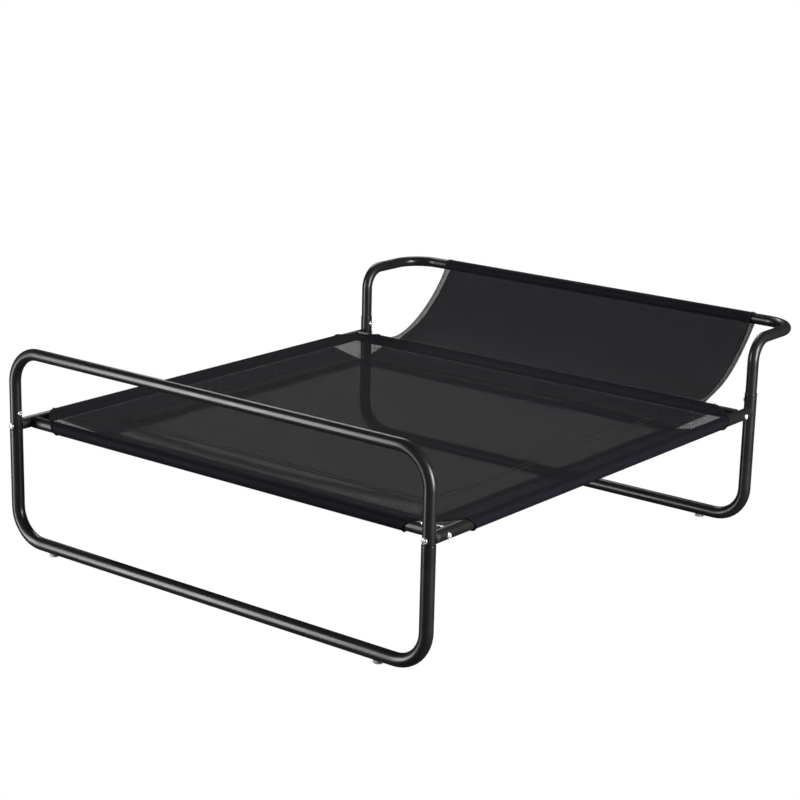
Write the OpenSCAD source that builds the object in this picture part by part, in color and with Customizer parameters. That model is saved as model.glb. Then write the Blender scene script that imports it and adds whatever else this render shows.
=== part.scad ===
// Raised pet bed: two bent-tube end frames, four rails, a slung mesh seat and a sloping back panel.
// All sizes in millimetres. X runs across the bed, Y from the low front end to the back panel, Z up.

/* [Overall] */
// Distance between the post axes across the bed
post_spacing_x = 880; // [600:1200]
// Distance between the front and rear post axes
post_spacing_y = 934; // [600:1300]
// Height of the axis of both top tubes
hoop_axis_z = 344; // [290:450]
// Height of the axis of the four rails
rail_axis_z = 213; // [150:260]

/* [Tubes] */
// Outside diameter of the two lower loops
lower_od = 22; // [18:32]
// Wall of the two lower loops
lower_wall = 0.8; // [0.6:0.1:1.5]
// Wall of the two upper hoops
upper_wall = 1; // [0.6:0.1:1.5]
// Outside diameter of the four rails
rail_od = 20; // [16:24]
// Wall of the four rails
rail_wall = 1; // [0.6:0.1:1.5]
// Bend radius, to the tube axis, of the lower loops
lower_bend = 57; // [45:90]
// Bend radius of the front hoop and of the rear hoop's corners
upper_bend = 57; // [45:80]
// Bend radius where the rear legs turn backward
leg_bend = 39; // [30:60]
// How far the rear top tube sits behind the rear posts
rear_setback = 156; // [130:220]

/* [Post joints] */
// Height of the front joint, where the hoop meets the shoulder of the loop
front_seam_z = 205; // [140:250]
// Height of the rear joint, where the hoop enters the loop
rear_seam_z = 248; // [180:290]
// Length of tube hidden inside each joint
joint_overlap = 52; // [30:80]
// Radial slack between a tube and the tube it slides into
joint_slack = 0.2; // [0.1:0.05:0.4]
// Height of the small screws that lock each joint
lock_z = 235; // [170:270]

/* [Rails] */
// Thickness of a saddle spacer between post and rail
saddle_t = 4; // [2:8]
// Length of a threaded plug in a side rail
side_plug_len = 13; // [8:15]
// Length of a threaded plug in a cross rail
cross_plug_len = 18; // [12:30]
// Gap between the end of a side rail's plug and the bolt that crosses the rail
bolt_clear = 1.7; // [0.5:0.1:20]

/* [Screws] */
// Thread diameter of the post screws and rail bolts
screw_d = 6; // [4:8]
// Diameter of their heads
head_d = 10.5; // [8:0.1:16]
// Height of their heads
head_h = 3.5; // [2:0.5:5]
// Thread diameter of the lock screws
lock_d = 4; // [3:0.5:6]
// Diameter of their heads
lock_head_d = 8; // [6:0.1:12]
// Height of their heads
lock_head_h = 2.5; // [1.5:0.5:4]
// Extra diameter of a clearance hole
hole_slack = 0.6; // [0.2:0.1:1]
// Extra diameter of a threaded hole over the modelled shank
thread_slack = 0.2; // [0.1:0.1:0.4]
// Length of a post screw's shank
post_screw_len = 35; // [30:50]
// Length of a rail bolt's shank
rail_bolt_len = 35; // [28:50]
// Length of a lock screw's shank
lock_screw_len = 12; // [6:16]

/* [Foot glides] */
// Distance of each glide from the post axis
foot_inset = 88; // [75:200]
// Diameter of a glide
foot_d = 16; // [10:24]
// Thickness of a glide below the tube
foot_h = 3; // [2:6]
// Diameter of a glide's stem
foot_stem_d = 5.8; // [4:8]

/* [Mesh covers] */
// Thickness of the mesh
cloth_t = 0.8; // [0.5:0.1:1.5]
// Space left between the mesh and what it wraps
cloth_gap = 0.3; // [0.2:0.1:0.6]
// Distance of the stitched rectangle from the rail axes
stitch_inset = 112; // [70:160]
// How far the middle of the seat lies below the rail axes
seat_drop = 3; // [0:12]
// Distance of the sleeve flaps' inner edge from the rail axes
flap_inset = 102; // [60:150]
// How far the flaps' inner edge lies below the rail axes
flap_drop = 24; // [16:60]
// Length of the corner cut along each rail
corner_cut = 54; // [40:110]
// How far a flap's end steps back from the corner cut
flap_taper = 50; // [30:60]
// Width of the back panel
panel_width = 704; // [400:1000]
// How many degrees the front layer of the back panel curves through
front_sag = 62; // [20:70]
// How many degrees the rear layer of the back panel curves through
rear_sag = 42; // [16:60]

/* [Hidden] */
$fn = 72;
upper_od = lower_od - 2 * lower_wall - 2 * joint_slack;
side_x = post_spacing_x / 2;
half_y = post_spacing_y / 2;
y_low = -half_y - upper_od / 2 - head_h;
y_high = half_y + rear_setback + upper_od / 2 + cloth_gap + cloth_t;
mid_y = -(y_low + y_high) / 2;
y_front = mid_y - half_y;
y_rear = mid_y + half_y;
base_z = foot_h + lower_od / 2;
plug_set = 0.3;
cross_inset = lower_od / 2 + saddle_t + plug_set + side_plug_len + bolt_clear + screw_d / 2;
cross_y = half_y - cross_inset;
lower_id = lower_od - 2 * lower_wall;
upper_id = upper_od - 2 * upper_wall;
rail_id = rail_od - 2 * rail_wall;
spigot_od = upper_id - 2 * joint_slack;
spigot_id = spigot_od - 2 * lower_wall;
shoulder_t = 2;
top_y = y_rear + rear_setback;
front_rail_start = y_front + upper_od / 2 + saddle_t;
rear_rail_end = y_rear - lower_od / 2 - saddle_t;
cope_depth = 2;
cope_slack = 0.4;
cross_half = side_x - rail_od / 2 + cope_depth;
plug_od = rail_id - 0.2;
hole_d = screw_d + hole_slack;
thread_d = screw_d + thread_slack;
lock_hole_d = lock_d + hole_slack;
lock_thread_d = lock_d + thread_slack;
saddle_reach = 6;
saddle_slack = 0.2;
dome_share = 0.62;
slot_w = 1.4;
slot_l_share = 0.56;
slot_depth_share = 0.46;
stem_hole_d = foot_stem_d + 0.4;
stem_len = 6;
wrap_in = rail_od / 2 + cloth_gap;
wrap_out = wrap_in + cloth_t;
stitch_x = side_x - stitch_inset;
stitch_y = cross_y - stitch_inset;
cut_mid = corner_cut / 2;
flap_x = side_x - flap_inset;
flap_y = cross_y - flap_inset;
beyond = 40;
layer_step = cloth_t + cloth_gap;
wing_reach = rail_od / 2;
wing_rise = (flap_drop - wrap_in) * (flap_inset - wing_reach) / flap_inset;
loop_mid = upper_od / 2 + cloth_gap + cloth_t / 2;
seam_mid = wrap_out + cloth_gap + cloth_t / 2;
chord_guess = atan2(hoop_axis_z - rail_axis_z - seam_mid, rear_setback + cross_inset);
front_tilt = chord_guess + front_sag / 2;
rear_tilt = chord_guess + rear_sag / 2;
rear_hold = 20;
tube_at = [top_y, hoop_axis_z];
rail_at = [mid_y + cross_y, rail_axis_z];
front_foot = rail_at + [0, seam_mid];
front_head = tube_at + loop_mid * [-sin(front_tilt), cos(front_tilt)];
rear_foot = rail_at + seam_mid * [sin(rear_hold), -cos(rear_hold)];
rear_head = tube_at + loop_mid * [sin(rear_tilt), -cos(rear_tilt)];

// ---- small helpers ----

// The same thing on the right and, mirrored, on the left.
module both_sides() {
  children();
  mirror([1, 0, 0]) children();
}

// The same thing at the front and, mirrored, at the back of the seat's middle line.
module both_ends() {
  translate([0, mid_y, 0]) children();
  translate([0, mid_y, 0]) mirror([0, 1, 0]) children();
}

module annulus(od, id) {
  difference() {
    circle(d = od);
    circle(d = id);
  }
}

module pipe_x(x0, x1, y, z, od, id) {
  translate([x0, y, z]) rotate([0, 90, 0]) linear_extrude(height = x1 - x0) annulus(od, id);
}

module pipe_y(y0, y1, x, z, od, id) {
  translate([x, y0, z]) rotate([-90, 0, 0]) linear_extrude(height = y1 - y0) annulus(od, id);
}

module pipe_z(z0, z1, x, y, od, id) {
  translate([x, y, z0]) linear_extrude(height = z1 - z0) annulus(od, id);
}

// A quarter bend lying flat, centred on the origin, from the X axis to the Y axis.
module elbow(r, od, id) {
  rotate_extrude(angle = 90) translate([r, 0]) annulus(od, id);
}

// A straight round bar through a point along X, Y or Z, for holes and shanks.
module bar_x(x0, x1, y, z, d) {
  translate([x0, y, z]) rotate([0, 90, 0]) cylinder(d = d, h = x1 - x0);
}

module bar_y(y0, y1, x, z, d) {
  translate([x, y0, z]) rotate([-90, 0, 0]) cylinder(d = d, h = y1 - y0);
}

module bar_z(z0, z1, x, y, d) {
  translate([x, y, z0]) cylinder(d = d, h = z1 - z0);
}

// A domed screw head with a cross recess, its seat on z = 0 and the shank going down.
module screw(shank, thread = screw_d, head = head_d, rise = head_h) {
  dome = head * dome_share;
  slot_l = head * slot_l_share;
  slot_depth = rise * slot_depth_share;
  difference() {
    union() {
      intersection() {
        cylinder(d = head, h = rise);
        translate([0, 0, rise - dome]) sphere(r = dome);
      }
      translate([0, 0, -shank]) cylinder(d = thread, h = shank + 1);
    }
    translate([-slot_l / 2, -slot_w / 2, rise - slot_depth]) cube([slot_l, slot_w, slot_depth + 1]);
    translate([-slot_w / 2, -slot_l / 2, rise - slot_depth]) cube([slot_w, slot_l, slot_depth + 1]);
  }
}

// ---- steel tubes ----

// The U of a lower loop, up to the given height.
module lower_u(y, top_z) {
  pipe_x(-(side_x - lower_bend), side_x - lower_bend, y, base_z, lower_od, lower_id);
  both_sides() {
    translate([side_x - lower_bend, y, base_z + lower_bend]) mirror([0, 0, 1]) rotate([90, 0, 0])
      elbow(lower_bend, lower_od, lower_id);
    pipe_z(base_z + lower_bend, top_z, side_x, y, lower_od, lower_id);
  }
}

// Holes for the stems of the two glides under one loop.
module stem_holes(y) {
  both_sides() bar_z(base_z - lower_od, base_z, side_x - foot_inset, y, stem_hole_d);
}

module front_lower_loop() {
  color([0.09, 0.09, 0.09]) difference() {
    union() {
      lower_u(y_front, front_seam_z - shoulder_t);
      both_sides() {
        pipe_z(front_seam_z - shoulder_t, front_seam_z, side_x, y_front, lower_od, spigot_id);
        pipe_z(front_seam_z, front_seam_z + joint_overlap, side_x, y_front, spigot_od, spigot_id);
      }
    }
    both_sides() bar_y(y_front - beyond, y_front + beyond, side_x, rail_axis_z, hole_d);
    both_sides() bar_x(side_x - beyond, side_x, y_front, lock_z, lock_thread_d);
    stem_holes(y_front);
  }
}

module rear_lower_loop() {
  color([0.09, 0.09, 0.09]) difference() {
    lower_u(y_rear, rear_seam_z);
    both_sides() bar_y(y_rear - beyond, y_rear + beyond, side_x, rail_axis_z, hole_d);
    both_sides() bar_x(side_x - beyond, side_x, y_rear, lock_z, lock_hole_d);
    stem_holes(y_rear);
  }
}

module front_hoop() {
  color([0.09, 0.09, 0.09]) difference() {
    union() {
      pipe_x(-(side_x - upper_bend), side_x - upper_bend, y_front, hoop_axis_z, upper_od, upper_id);
      both_sides() {
        translate([side_x - upper_bend, y_front, hoop_axis_z - upper_bend]) rotate([90, 0, 0])
          elbow(upper_bend, upper_od, upper_id);
        pipe_z(front_seam_z + joint_slack, hoop_axis_z - upper_bend, side_x, y_front, upper_od, upper_id);
      }
    }
    both_sides() bar_y(y_front - beyond, y_front + beyond, side_x, rail_axis_z, hole_d);
    both_sides() bar_x(side_x - beyond, side_x, y_front, lock_z, lock_hole_d);
  }
}

module rear_hoop() {
  color([0.09, 0.09, 0.09]) difference() {
    union() {
      pipe_x(-(side_x - upper_bend), side_x - upper_bend, top_y, hoop_axis_z, upper_od, upper_id);
      both_sides() {
        translate([side_x - upper_bend, top_y - upper_bend, hoop_axis_z])
          elbow(upper_bend, upper_od, upper_id);
        pipe_y(y_rear + leg_bend, top_y - upper_bend, side_x, hoop_axis_z, upper_od, upper_id);
        translate([side_x, y_rear + leg_bend, hoop_axis_z - leg_bend]) rotate([0, 0, -90])
          rotate([90, 0, 0]) elbow(leg_bend, upper_od, upper_id);
        pipe_z(rear_seam_z - joint_overlap, hoop_axis_z - leg_bend, side_x, y_rear, upper_od, upper_id);
      }
    }
    both_sides() bar_y(y_rear - beyond, y_rear + beyond, side_x, rail_axis_z, hole_d);
    both_sides() bar_x(side_x - beyond, side_x, y_rear, lock_z, lock_thread_d);
  }
}

// The right side rail with the through holes for the two cross rail bolts.
module side_rail() {
  color([0.09, 0.09, 0.09]) difference() {
    pipe_y(front_rail_start, rear_rail_end, side_x, rail_axis_z, rail_od, rail_id);
    both_ends() bar_x(side_x - beyond, side_x + beyond, cross_y, rail_axis_z, hole_d);
  }
}

module right_side_rail() {
  side_rail();
}

module left_side_rail() {
  mirror([1, 0, 0]) side_rail();
}

// A cross rail whose ends are hollowed to fit round the side rails.
module cross_rail(y) {
  color([0.09, 0.09, 0.09]) difference() {
    pipe_x(-cross_half, cross_half, y, rail_axis_z, rail_od, rail_id);
    both_sides() bar_y(y - beyond, y + beyond, side_x, rail_axis_z, rail_od + cope_slack);
  }
}

module front_cross_rail() {
  cross_rail(mid_y - cross_y);
}

module rear_cross_rail() {
  cross_rail(mid_y + cross_y);
}

// ---- joint pieces ----

module side_rail_plugs() {
  front_at = front_rail_start + plug_set;
  rear_at = rear_rail_end - plug_set - side_plug_len;
  color([0.55, 0.56, 0.58]) both_sides() for (y0 = [front_at, rear_at])
    pipe_y(y0, y0 + side_plug_len, side_x, rail_axis_z, plug_od, thread_d);
}

module cross_rail_plugs() {
  outer = side_x - rail_od / 2 - cope_slack - plug_set;
  color([0.55, 0.56, 0.58]) both_sides() both_ends()
    pipe_x(outer - cross_plug_len, outer, cross_y, rail_axis_z, plug_od, thread_d);
}

module front_saddles() {
  color([0.03, 0.03, 0.03]) both_sides() difference() {
    bar_y(y_front + saddle_reach, front_rail_start - saddle_slack / 2, side_x, rail_axis_z, rail_od);
    bar_z(rail_axis_z - beyond, rail_axis_z + beyond, side_x, y_front, upper_od + saddle_slack);
    bar_z(rail_axis_z - beyond, front_seam_z + saddle_slack, side_x, y_front, lower_od + saddle_slack);
    bar_y(y_front - beyond, y_front + beyond, side_x, rail_axis_z, hole_d);
  }
}

module rear_saddles() {
  color([0.03, 0.03, 0.03]) both_sides() difference() {
    bar_y(rear_rail_end + saddle_slack / 2, y_rear - saddle_reach, side_x, rail_axis_z, rail_od);
    bar_z(rail_axis_z - beyond, rail_axis_z + beyond, side_x, y_rear, lower_od + saddle_slack);
    bar_y(y_rear - beyond, y_rear + beyond, side_x, rail_axis_z, hole_d);
  }
}

module post_screws() {
  color([0.85, 0.85, 0.87]) both_sides() {
    translate([side_x, y_front - upper_od / 2, rail_axis_z]) rotate([90, 0, 0]) screw(post_screw_len);
    translate([side_x, y_rear + lower_od / 2, rail_axis_z]) rotate([-90, 0, 0]) screw(post_screw_len);
  }
}

module lock_screws() {
  color([0.85, 0.85, 0.87]) both_sides() {
    translate([side_x - upper_od / 2, y_front, lock_z]) rotate([0, -90, 0])
      screw(lock_screw_len, lock_d, lock_head_d, lock_head_h);
    translate([side_x - lower_od / 2, y_rear, lock_z]) rotate([0, -90, 0])
      screw(lock_screw_len, lock_d, lock_head_d, lock_head_h);
  }
}

module rail_bolts() {
  color([0.85, 0.85, 0.87]) both_sides() both_ends()
    translate([side_x + rail_od / 2, cross_y, rail_axis_z]) rotate([0, 90, 0]) screw(rail_bolt_len);
}

// The two glides under one loop: a pad hollowed to the tube, with a stem pushed into it.
module foot_glides(y) {
  color([0.85, 0.86, 0.84]) both_sides() {
    difference() {
      bar_z(0, foot_h + 2, side_x - foot_inset, y, foot_d);
      bar_x(0, side_x, y, base_z, lower_od + saddle_slack);
    }
    bar_z(foot_h / 2, foot_h + stem_len, side_x - foot_inset, y, foot_stem_d);
  }
}

module front_foot_glides() {
  foot_glides(y_front);
}

module rear_foot_glides() {
  foot_glides(y_rear);
}

// ---- mesh covers ----

// Section of a sleeve: slope down to the stitched rectangle, and the half turn round the rail.
module top_section() {
  polygon([[0, wrap_in], [0, wrap_out], [-stitch_inset, -seat_drop], [-stitch_inset, -seat_drop - cloth_t]]);
  intersection() {
    annulus(2 * wrap_out, 2 * wrap_in);
    translate([0, -beyond]) square([beyond, 2 * beyond]);
  }
}

// Section of the flap that comes back inward under the seat.
module flap_section() {
  polygon([[0, -wrap_in], [0, -wrap_out], [-flap_inset, -flap_drop - cloth_t], [-flap_inset, -flap_drop]]);
}

// Section of a wing of the bottom sheet, just below the flap.
module wing_section() {
  low = -flap_drop - layer_step;
  polygon([[-wing_reach, low + wing_rise], [-wing_reach, low + wing_rise - cloth_t],
    [-flap_inset, low - cloth_t], [-flap_inset, low]]);
}

// A section run along Y at the right rail's axis, or along X at the front rail's axis.
module run_side(len) {
  translate([side_x, mid_y, rail_axis_z]) rotate([90, 0, 0]) linear_extrude(height = len, center = true)
    children();
}

module run_front(len) {
  translate([0, mid_y - cross_y, rail_axis_z]) rotate([0, 0, -90]) rotate([90, 0, 0])
    linear_extrude(height = len, center = true) children();
}

// A vertical block with the given outline about the seat's middle.
module block(outline) {
  translate([0, mid_y, rail_axis_z - 2 * flap_drop]) linear_extrude(height = 4 * flap_drop)
    polygon(outline);
}

// Outlines, in plan, of what one side or one end of the seat keeps.
side_top = [[stitch_x, -stitch_y], [side_x - cut_mid, -cross_y + cut_mid], [side_x, -cross_y + corner_cut],
  [side_x + beyond, -cross_y + corner_cut], [side_x + beyond, cross_y - corner_cut],
  [side_x, cross_y - corner_cut], [side_x - cut_mid, cross_y - cut_mid], [stitch_x, stitch_y]];
front_top = [[stitch_x, -stitch_y], [side_x - cut_mid, -cross_y + cut_mid], [side_x - corner_cut, -cross_y],
  [side_x - corner_cut, -cross_y - beyond], [-side_x + corner_cut, -cross_y - beyond],
  [-side_x + corner_cut, -cross_y], [-side_x + cut_mid, -cross_y + cut_mid], [-stitch_x, -stitch_y]];
side_under = [[flap_x, -cross_y + corner_cut + flap_taper], [side_x, -cross_y + corner_cut + 6],
  [side_x, cross_y - corner_cut - 6], [flap_x, cross_y - corner_cut - flap_taper]];
front_under = [[side_x - corner_cut - flap_taper, -flap_y], [side_x - corner_cut, -cross_y],
  [-side_x + corner_cut, -cross_y], [-side_x + corner_cut + flap_taper, -flap_y]];

module seat_top() {
  color([0.12, 0.12, 0.14]) {
    translate([-stitch_x, mid_y - stitch_y, rail_axis_z - seat_drop - cloth_t])
      cube([2 * stitch_x, 2 * stitch_y, cloth_t]);
    both_sides() {
      intersection() {
        run_side(2 * cross_y) top_section();
        block(side_top);
      }
      intersection() {
        run_side(2 * cross_y) flap_section();
        block(side_under);
      }
    }
    both_ends() translate([0, -mid_y, 0]) {
      intersection() {
        run_front(2 * side_x) top_section();
        block(front_top);
      }
      intersection() {
        run_front(2 * side_x) flap_section();
        block(front_under);
      }
    }
  }
}

module seat_bottom() {
  low = rail_axis_z - flap_drop - layer_step - cloth_t;
  color([0.12, 0.12, 0.14]) {
    translate([-flap_x, mid_y - flap_y, low]) cube([2 * flap_x, 2 * flap_y, cloth_t]);
    both_sides() intersection() {
      run_side(2 * cross_y) wing_section();
      block(side_under);
    }
    both_ends() translate([0, -mid_y, 0]) intersection() {
      run_front(2 * side_x) wing_section();
      block(front_under);
    }
  }
}

// One layer of the back panel in section: an arc from one point to another, sagging by an angle.
module arc_layer(a, b, turn) {
  chord = norm(b - a);
  radius = chord / 2 / sin(turn / 2);
  along = (b - a) / chord;
  up = [-along[1], along[0]];
  centre = (a + b) / 2 + up * radius * cos(turn / 2);
  far = 1.3;
  translate(centre) intersection() {
    annulus(2 * radius + cloth_t, 2 * radius - cloth_t);
    polygon([[0, 0], far * (a - centre), far * radius * -up, far * (b - centre)]);
  }
}

// The half turn of the panel over the rear top tube, in section.
module tube_wrap() {
  near = [-sin(front_tilt), cos(front_tilt)];
  last = [sin(rear_tilt), -cos(rear_tilt)];
  translate(tube_at) intersection() {
    annulus(2 * loop_mid + cloth_t, 2 * loop_mid - cloth_t);
    polygon([[0, 0], near * beyond, [0, beyond], [beyond, beyond], [beyond, 0], last * beyond]);
  }
}

module back_panel() {
  color([0.12, 0.12, 0.14]) translate([-panel_width / 2, 0, 0]) rotate([90, 0, 90])
    linear_extrude(height = panel_width) {
      arc_layer(front_foot, front_head, front_sag);
      tube_wrap();
      arc_layer(rear_foot, rear_head, rear_sag);
    }
}

front_lower_loop();
rear_lower_loop();
front_hoop();
rear_hoop();
left_side_rail();
right_side_rail();
front_cross_rail();
rear_cross_rail();
side_rail_plugs();
cross_rail_plugs();
front_saddles();
rear_saddles();
post_screws();
lock_screws();
rail_bolts();
front_foot_glides();
rear_foot_glides();
seat_top();
seat_bottom();
back_panel();
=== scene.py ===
"""Raised pet bed: satin black steel tubes, slung mesh seat and a curved mesh back panel.

Metres throughout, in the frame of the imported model: X across the bed, Y from the low front end
to the back panel, Z up.
"""
from math import radians

import bmesh
import bpy
import numpy as np
from mathutils import Matrix, Vector


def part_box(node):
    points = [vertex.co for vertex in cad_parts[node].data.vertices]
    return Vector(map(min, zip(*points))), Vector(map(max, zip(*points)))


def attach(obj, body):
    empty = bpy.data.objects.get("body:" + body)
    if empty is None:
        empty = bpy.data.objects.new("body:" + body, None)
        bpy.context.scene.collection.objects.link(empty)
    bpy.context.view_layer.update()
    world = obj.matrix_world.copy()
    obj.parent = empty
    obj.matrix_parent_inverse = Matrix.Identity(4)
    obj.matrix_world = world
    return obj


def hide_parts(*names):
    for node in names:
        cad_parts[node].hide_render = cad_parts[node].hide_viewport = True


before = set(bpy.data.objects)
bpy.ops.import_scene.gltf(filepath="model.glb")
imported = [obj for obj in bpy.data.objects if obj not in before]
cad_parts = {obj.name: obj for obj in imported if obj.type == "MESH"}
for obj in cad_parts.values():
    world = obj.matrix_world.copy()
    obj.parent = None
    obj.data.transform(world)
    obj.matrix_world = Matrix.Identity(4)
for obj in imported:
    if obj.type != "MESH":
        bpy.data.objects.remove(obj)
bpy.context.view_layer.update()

BODY = "root"
MM = 0.001


def middle(node, axis):
    """The middle of a node's box along one axis."""
    low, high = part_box(node)
    return (low[axis] + high[axis]) / 2


def half_width(node, axis):
    """Half of a node's box along one axis."""
    low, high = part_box(node)
    return (high[axis] - low[axis]) / 2


# ---- sizes and places taken from the frame ----
SIDE_X = middle("right_side_rail", 0)
RAIL_Z = middle("right_side_rail", 2)
RAIL_R = half_width("right_side_rail", 0)
RAIL_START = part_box("right_side_rail")[0].y
RAIL_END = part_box("right_side_rail")[1].y
FRONT_CROSS_Y = middle("front_cross_rail", 1)
REAR_CROSS_Y = middle("rear_cross_rail", 1)
MID_Y = (FRONT_CROSS_Y + REAR_CROSS_Y) / 2
CROSS_Y = (REAR_CROSS_Y - FRONT_CROSS_Y) / 2
FRONT_Y = middle("front_lower_loop", 1)
REAR_Y = middle("rear_lower_loop", 1)
LOWER_R = half_width("front_lower_loop", 1)
BASE_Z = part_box("front_lower_loop")[0].z + LOWER_R
HOOP_R = half_width("front_hoop", 1)
HOOP_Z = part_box("front_hoop")[1].z - HOOP_R
FRONT_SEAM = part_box("front_hoop")[0].z
REAR_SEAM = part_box("rear_lower_loop")[1].z
TOP_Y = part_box("rear_hoop")[1].y - HOOP_R
PANEL_HALF = half_width("back_panel", 0)

# ---- sizes that the boxes don't tell ----
CORNER_BEND = 57 * MM
LEG_BEND = 39 * MM
LOOP_WALL = 0.8 * MM
HOOP_WALL = 1.0 * MM
JOINT_GAP = 0.2 * MM
JOINT_OVERLAP = 52 * MM
LIP = 0.3 * MM
COPE = 1 * MM
LOCK_Z = 235 * MM
HEAD_R = 5.25 * MM
HEAD_H = 3.5 * MM
LOCK_HEAD = 0.76
SLOT_REACH = 3.1 * MM
SLOT_HALF = 0.5 * MM
SLOT_DEPTH = 1.4 * MM
CLOTH = 0.8 * MM
WRAP_GAP = 0.3 * MM
WRAP_R = RAIL_R + WRAP_GAP + CLOTH
STITCH_INSET = 112 * MM
SEAT_DROP = 3 * MM + CLOTH / 2
CORNER_CUT = 54 * MM
FLAP_INSET = 102 * MM
FLAP_DROP = 24 * MM + CLOTH / 2
SIDE_FLAP_TAPER = 28 * MM
END_FLAP_TAPER = 32 * MM
SEAT_SAG = 1.2 * MM
CORNER_BOW = 2.5 * MM
MOUTH_SLANT = 14 * MM
HEM = 22 * MM
SIDE_HEM = 2.5 * MM
HEM_GAP = 0.9 * MM
SHEET_STEP = 1.1 * MM
PANEL_GAP = 0.3 * MM
OVER_START = 223 * MM
REAR_START = 257 * MM
# widths of the near-black edge tapes, which also paint the shade in the corner notches and sleeve mouths
CORNER_TAPE_AND_SHADE = 5.0 * MM
MOUTH_TAPE_AND_SHADE = 1.5 * MM
TAPE_HALF = 0.8 * MM
STITCH_PITCH = 4.2 * MM
STITCH_LENGTH = 3.5 * MM
STITCH_HALF = 0.8 * MM
PANEL_STITCH_HALF = 0.5 * MM
ROW_GAP = 11 * MM
TUBE_SIDES = 48


# ---- mesh helpers ----

def unit(v):
    """Each vector of an array at length one."""
    return v / np.linalg.norm(v, axis=-1, keepdims=True)


def mix(a, b, t):
    """Straight blend from a to b as t goes from 0 to 1."""
    return a + (b - a) * t


def ease(t):
    """0 below 0, 1 above 1, and 3t^2 - 2t^3 between."""
    t = np.clip(t, 0, 1)
    return t * t * (3 - 2 * t)


def grid_faces(rows, cols, closed=False):
    """Quads between neighbouring grid points, row by row; closed joins the last column to the first."""
    span = cols if closed else cols - 1
    i, j = np.meshgrid(np.arange(rows - 1), np.arange(span), indexing="ij")
    k = (j + 1) % cols
    return np.stack([i * cols + j, i * cols + k, (i + 1) * cols + k, (i + 1) * cols + j], -1).reshape(-1, 4)


def grid_uv(uv, closed):
    """A grid of map coordinates laid out corner by corner, in the order of grid_faces.

    A closed grid gets one more column, a step past its last, so that the map runs on across the join.
    """
    if closed:
        turn = uv[:, :1].copy()
        turn[..., 0] = 2 * uv[:, -1:, 0] - uv[:, -2:-1, 0]
        uv = np.concatenate([uv, turn], 1)
    return np.stack([uv[:-1, :-1], uv[:-1, 1:], uv[1:, 1:], uv[1:, :-1]], 2).reshape(-1, 2)


def make_piece(name, grids, material, openness=None, weld=1e-6):
    """One mesh from several grids. A grid is (points, map coordinates, closed round), all as arrays.

    openness, if given, is one number or array per grid and becomes the point attribute "openness".
    Points of neighbouring grids that fall together are welded, so the surface is smooth across.
    """
    points, faces, uvs, start = [], [], [], 0
    for where, uv, closed in grids:
        rows, cols = where.shape[:2]
        points.append(where.reshape(-1, 3))
        faces.append(grid_faces(rows, cols, closed) + start)
        uvs.append(grid_uv(uv, closed))
        start += rows * cols
    points = np.concatenate(points)
    faces = np.concatenate(faces)
    mesh = bpy.data.meshes.new(name)
    mesh.vertices.add(len(points))
    mesh.vertices.foreach_set("co", points.astype(np.float32).ravel())
    mesh.loops.add(faces.size)
    mesh.loops.foreach_set("vertex_index", faces.astype(np.int32).ravel())
    mesh.polygons.add(len(faces))
    mesh.polygons.foreach_set("loop_start", np.arange(0, faces.size, 4, dtype=np.int32))
    mesh.update(calc_edges=True)
    mesh.uv_layers.new(name="UVMap").data.foreach_set("uv", np.concatenate(uvs).astype(np.float32).ravel())
    if openness is not None:
        spread = [np.broadcast_to(o, g[0].shape[:2]).ravel() for o, g in zip(openness, grids)]
        attribute = mesh.attributes.new("openness", "FLOAT", "POINT")
        attribute.data.foreach_set("value", np.concatenate(spread).astype(np.float32))
    mesh.polygons.foreach_set("use_smooth", np.ones(len(faces), bool))
    mesh.validate()
    piece = bpy.data.objects.new(name, mesh)
    bpy.context.scene.collection.objects.link(piece)
    if weld:
        weld_points(mesh, weld)
    mesh.materials.append(material)
    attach(piece, BODY)
    return piece


def weld_points(mesh, distance):
    """Merges the points that lie within a distance of each other."""
    work = bmesh.new()
    work.from_mesh(mesh)
    bmesh.ops.remove_doubles(work, verts=work.verts, dist=distance)
    work.to_mesh(mesh)
    work.free()


# ---- lines ----

def bent_line(corners, bends, per_turn=12):
    """A line through corners with each inner corner rounded by an arc of the given radius.

    An arc touches both legs at radius * tan(turn / 2) from its corner, and its points are
    centre + radius * (cos, sin) in the plane of the two legs. One more point on each leg, close to
    the arc, keeps the shading of the straight part straight.
    """
    corners = np.array(corners, float)
    line = [corners[:1]]
    for before, corner, after, bend in zip(corners[:-2], corners[1:-1], corners[2:], bends):
        inward = unit(corner - before)
        outward = unit(after - corner)
        turn = np.arccos(np.clip(inward @ outward, -1, 1))
        reach = bend * np.tan(turn / 2)
        side = unit(outward - inward * (inward @ outward))
        centre = corner - inward * reach + side * bend
        angle = np.linspace(0, turn, per_turn + 1)[:, None]
        arc = centre + bend * (inward * np.sin(angle) - side * np.cos(angle))
        line.append(arc[:1] - 2 * MM * inward)
        line.append(arc)
        line.append(arc[-1:] + 2 * MM * outward)
    line.append(corners[-1:])
    return np.concatenate(line)


def line_heading(line):
    """Unit direction of a line at each of its points: the mean of the steps on both sides."""
    step = unit(np.diff(line, axis=0))
    return unit(np.concatenate([step[:1], step[:-1] + step[1:], step[-1:]]))


def ring_grid(line, heading, radius, sides=TUBE_SIDES, squash=1.0, lean=(0.5, -0.6, 0.62)):
    """Rings round a line: centre + radius * (cos a * across + squash * sin a * over).

    across is square to the heading and to a fixed leaning direction, over is square to both.
    The map coordinates are metres round the tube and metres along it.
    """
    across = unit(np.cross(np.array(lean, float), heading))
    over = np.cross(heading, across)
    angle = np.linspace(0, 2 * np.pi, sides, endpoint=False)[None, :, None]
    radius = np.broadcast_to(radius, len(line))[:, None, None]
    ring = across[:, None] * np.cos(angle) + squash * over[:, None] * np.sin(angle)
    where = line[:, None] + radius * ring
    step = np.linalg.norm(np.diff(line, axis=0), axis=1)
    along = np.concatenate([[0], np.cumsum(step)])
    around = angle[0, :, 0] * radius.max()
    uv = np.stack(np.broadcast_arrays(around[None, :], along[:, None]), -1)
    return where, uv, True


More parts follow.
